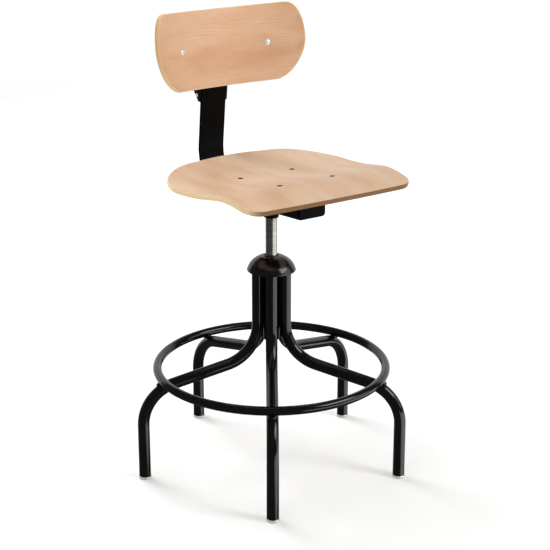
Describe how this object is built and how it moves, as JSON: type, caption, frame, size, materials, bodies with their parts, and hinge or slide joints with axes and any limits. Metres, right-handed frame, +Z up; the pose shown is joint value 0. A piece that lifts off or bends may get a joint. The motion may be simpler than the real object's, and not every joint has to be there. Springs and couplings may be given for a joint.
{
  "type": "adjustable swivel stool",
  "caption": "Screw-lift swivel stool: bent tube legs with a foot ring, contoured plywood seat, and a curved plywood backrest that slides in depth and height and tilts.",
  "frame": {"origin": "on the floor, below the middle of the stool's box at rest", "axes": "+Z up; the sitter faces -Y; +X is at the sitter's left"},
  "size_m": [0.5772, 0.56, 0.9802],
  "materials": {
    "black_enamel": "gloss black stoved enamel on steel",
    "brown_black_plastic": "glossy brown-black moulding",
    "black_plastic": "satin black moulding",
    "bright_steel": "turned bright steel",
    "nickel": "bright nickel plate",
    "dark_screw": "darkened steel",
    "zinc": "bright zinc plate",
    "nylon": "natural nylon",
    "rubber": "black rubber",
    "bronze": "sintered bronze",
    "seat_plywood": "pale beech plywood, clear satin lacquer",
    "back_plywood": "pale beech plywood, clear satin lacquer"
  },
  "bodies": {
    "base": {"leg_1": "black_enamel", "leg_2": "black_enamel", "leg_3": "black_enamel", "leg_4": "black_enamel", "leg_5": "black_enamel", "foot_ring": "black_enamel", "centre_tube": "black_enamel", "bell_cap": "brown_black_plastic", "spindle_bush": "black_plastic", "spindle_nut": "bronze", "glide_1": "nickel", "glide_2": "nickel", "glide_3": "nickel", "glide_4": "nickel", "glide_5": "nickel", "glide_insert_1": "black_plastic", "glide_insert_2": "black_plastic", "glide_insert_3": "black_plastic", "glide_insert_4": "black_plastic", "glide_insert_5": "black_plastic"},
    "screw_washer": {"stop_washer": "zinc"},
    "upper": {"spindle": "bright_steel", "stop_screw": "zinc", "hub": "black_enamel", "hub_set_screw": "dark_screw", "seat_channel": "black_enamel", "seat_plate": "black_enamel", "seat_panel": "seat_plywood", "seat_bolt_1": "dark_screw", "seat_bolt_2": "dark_screw", "seat_bolt_3": "dark_screw", "seat_bolt_4": "dark_screw", "seat_nut_1": "zinc", "seat_nut_2": "zinc", "seat_nut_3": "zinc", "seat_nut_4": "zinc", "depth_clamp_plate": "zinc"},
    "depth_lock": {"depth_knob": "black_plastic", "depth_stud": "zinc"},
    "bar": {"back_bar": "black_enamel"},
    "slider": {"back_slider": "black_enamel", "cross_pin_lower": "nickel", "cross_pin_upper": "nickel", "roller_lower": "nylon", "roller_upper": "nylon", "clamp_bridge": "black_enamel", "pressure_pad": "nylon", "tilt_lug": "black_enamel", "tilt_stop": "rubber"},
    "height_lock": {"height_knob": "black_plastic", "height_stud": "zinc"},
    "backrest": {"tilt_bracket": "black_enamel", "tilt_pin": "zinc", "back_strap": "black_enamel", "backrest_panel": "back_plywood", "backrest_bolt_1": "nickel", "backrest_bolt_2": "nickel", "backrest_nut_1": "zinc", "backrest_nut_2": "zinc"}
  },
  "joints": [
    {"name": "seat_lift", "type": "slide", "parent": "base", "child": "screw_washer", "axis": [0, 0, 1], "range_m": [-0.0763, 0.0509]},
    {"name": "seat_turn", "type": "hinge", "parent": "screw_washer", "child": "upper", "pos_m": [0.0028, -0.02272, 0.5], "axis": [0, 0, 1], "range_deg": [-4320, 2880]},
    {"name": "depth_knob_turn", "type": "hinge", "parent": "upper", "child": "depth_lock", "pos_m": [0.0028, 0.07028, 0.57601], "axis": [0, 0.0732, 0.9973], "range_deg": [0, 540]},
    {"name": "back_depth", "type": "slide", "parent": "upper", "child": "bar", "axis": [0, 0.9973, -0.0732], "range_m": [-0.0254, 0.0254]},
    {"name": "back_height", "type": "slide", "parent": "bar", "child": "slider", "axis": [0, -0.1045, 0.9945], "range_m": [-0.038, 0.03]},
    {"name": "height_knob_turn", "type": "hinge", "parent": "slider", "child": "height_lock", "pos_m": [0.0028, 0.19355, 0.80755], "axis": [0, 0.9945, 0.1045], "range_deg": [0, 540]},
    {"name": "backrest_tilt", "type": "hinge", "parent": "slider", "child": "backrest", "pos_m": [0.0028, 0.17864, 0.82986], "axis": [1, 0, 0], "range_deg": [0, 12]}
  ],
  "couplings": [
    {"joint": "seat_lift", "follows": "seat_turn", "m_per_rad": 0.0010106}
  ]
}
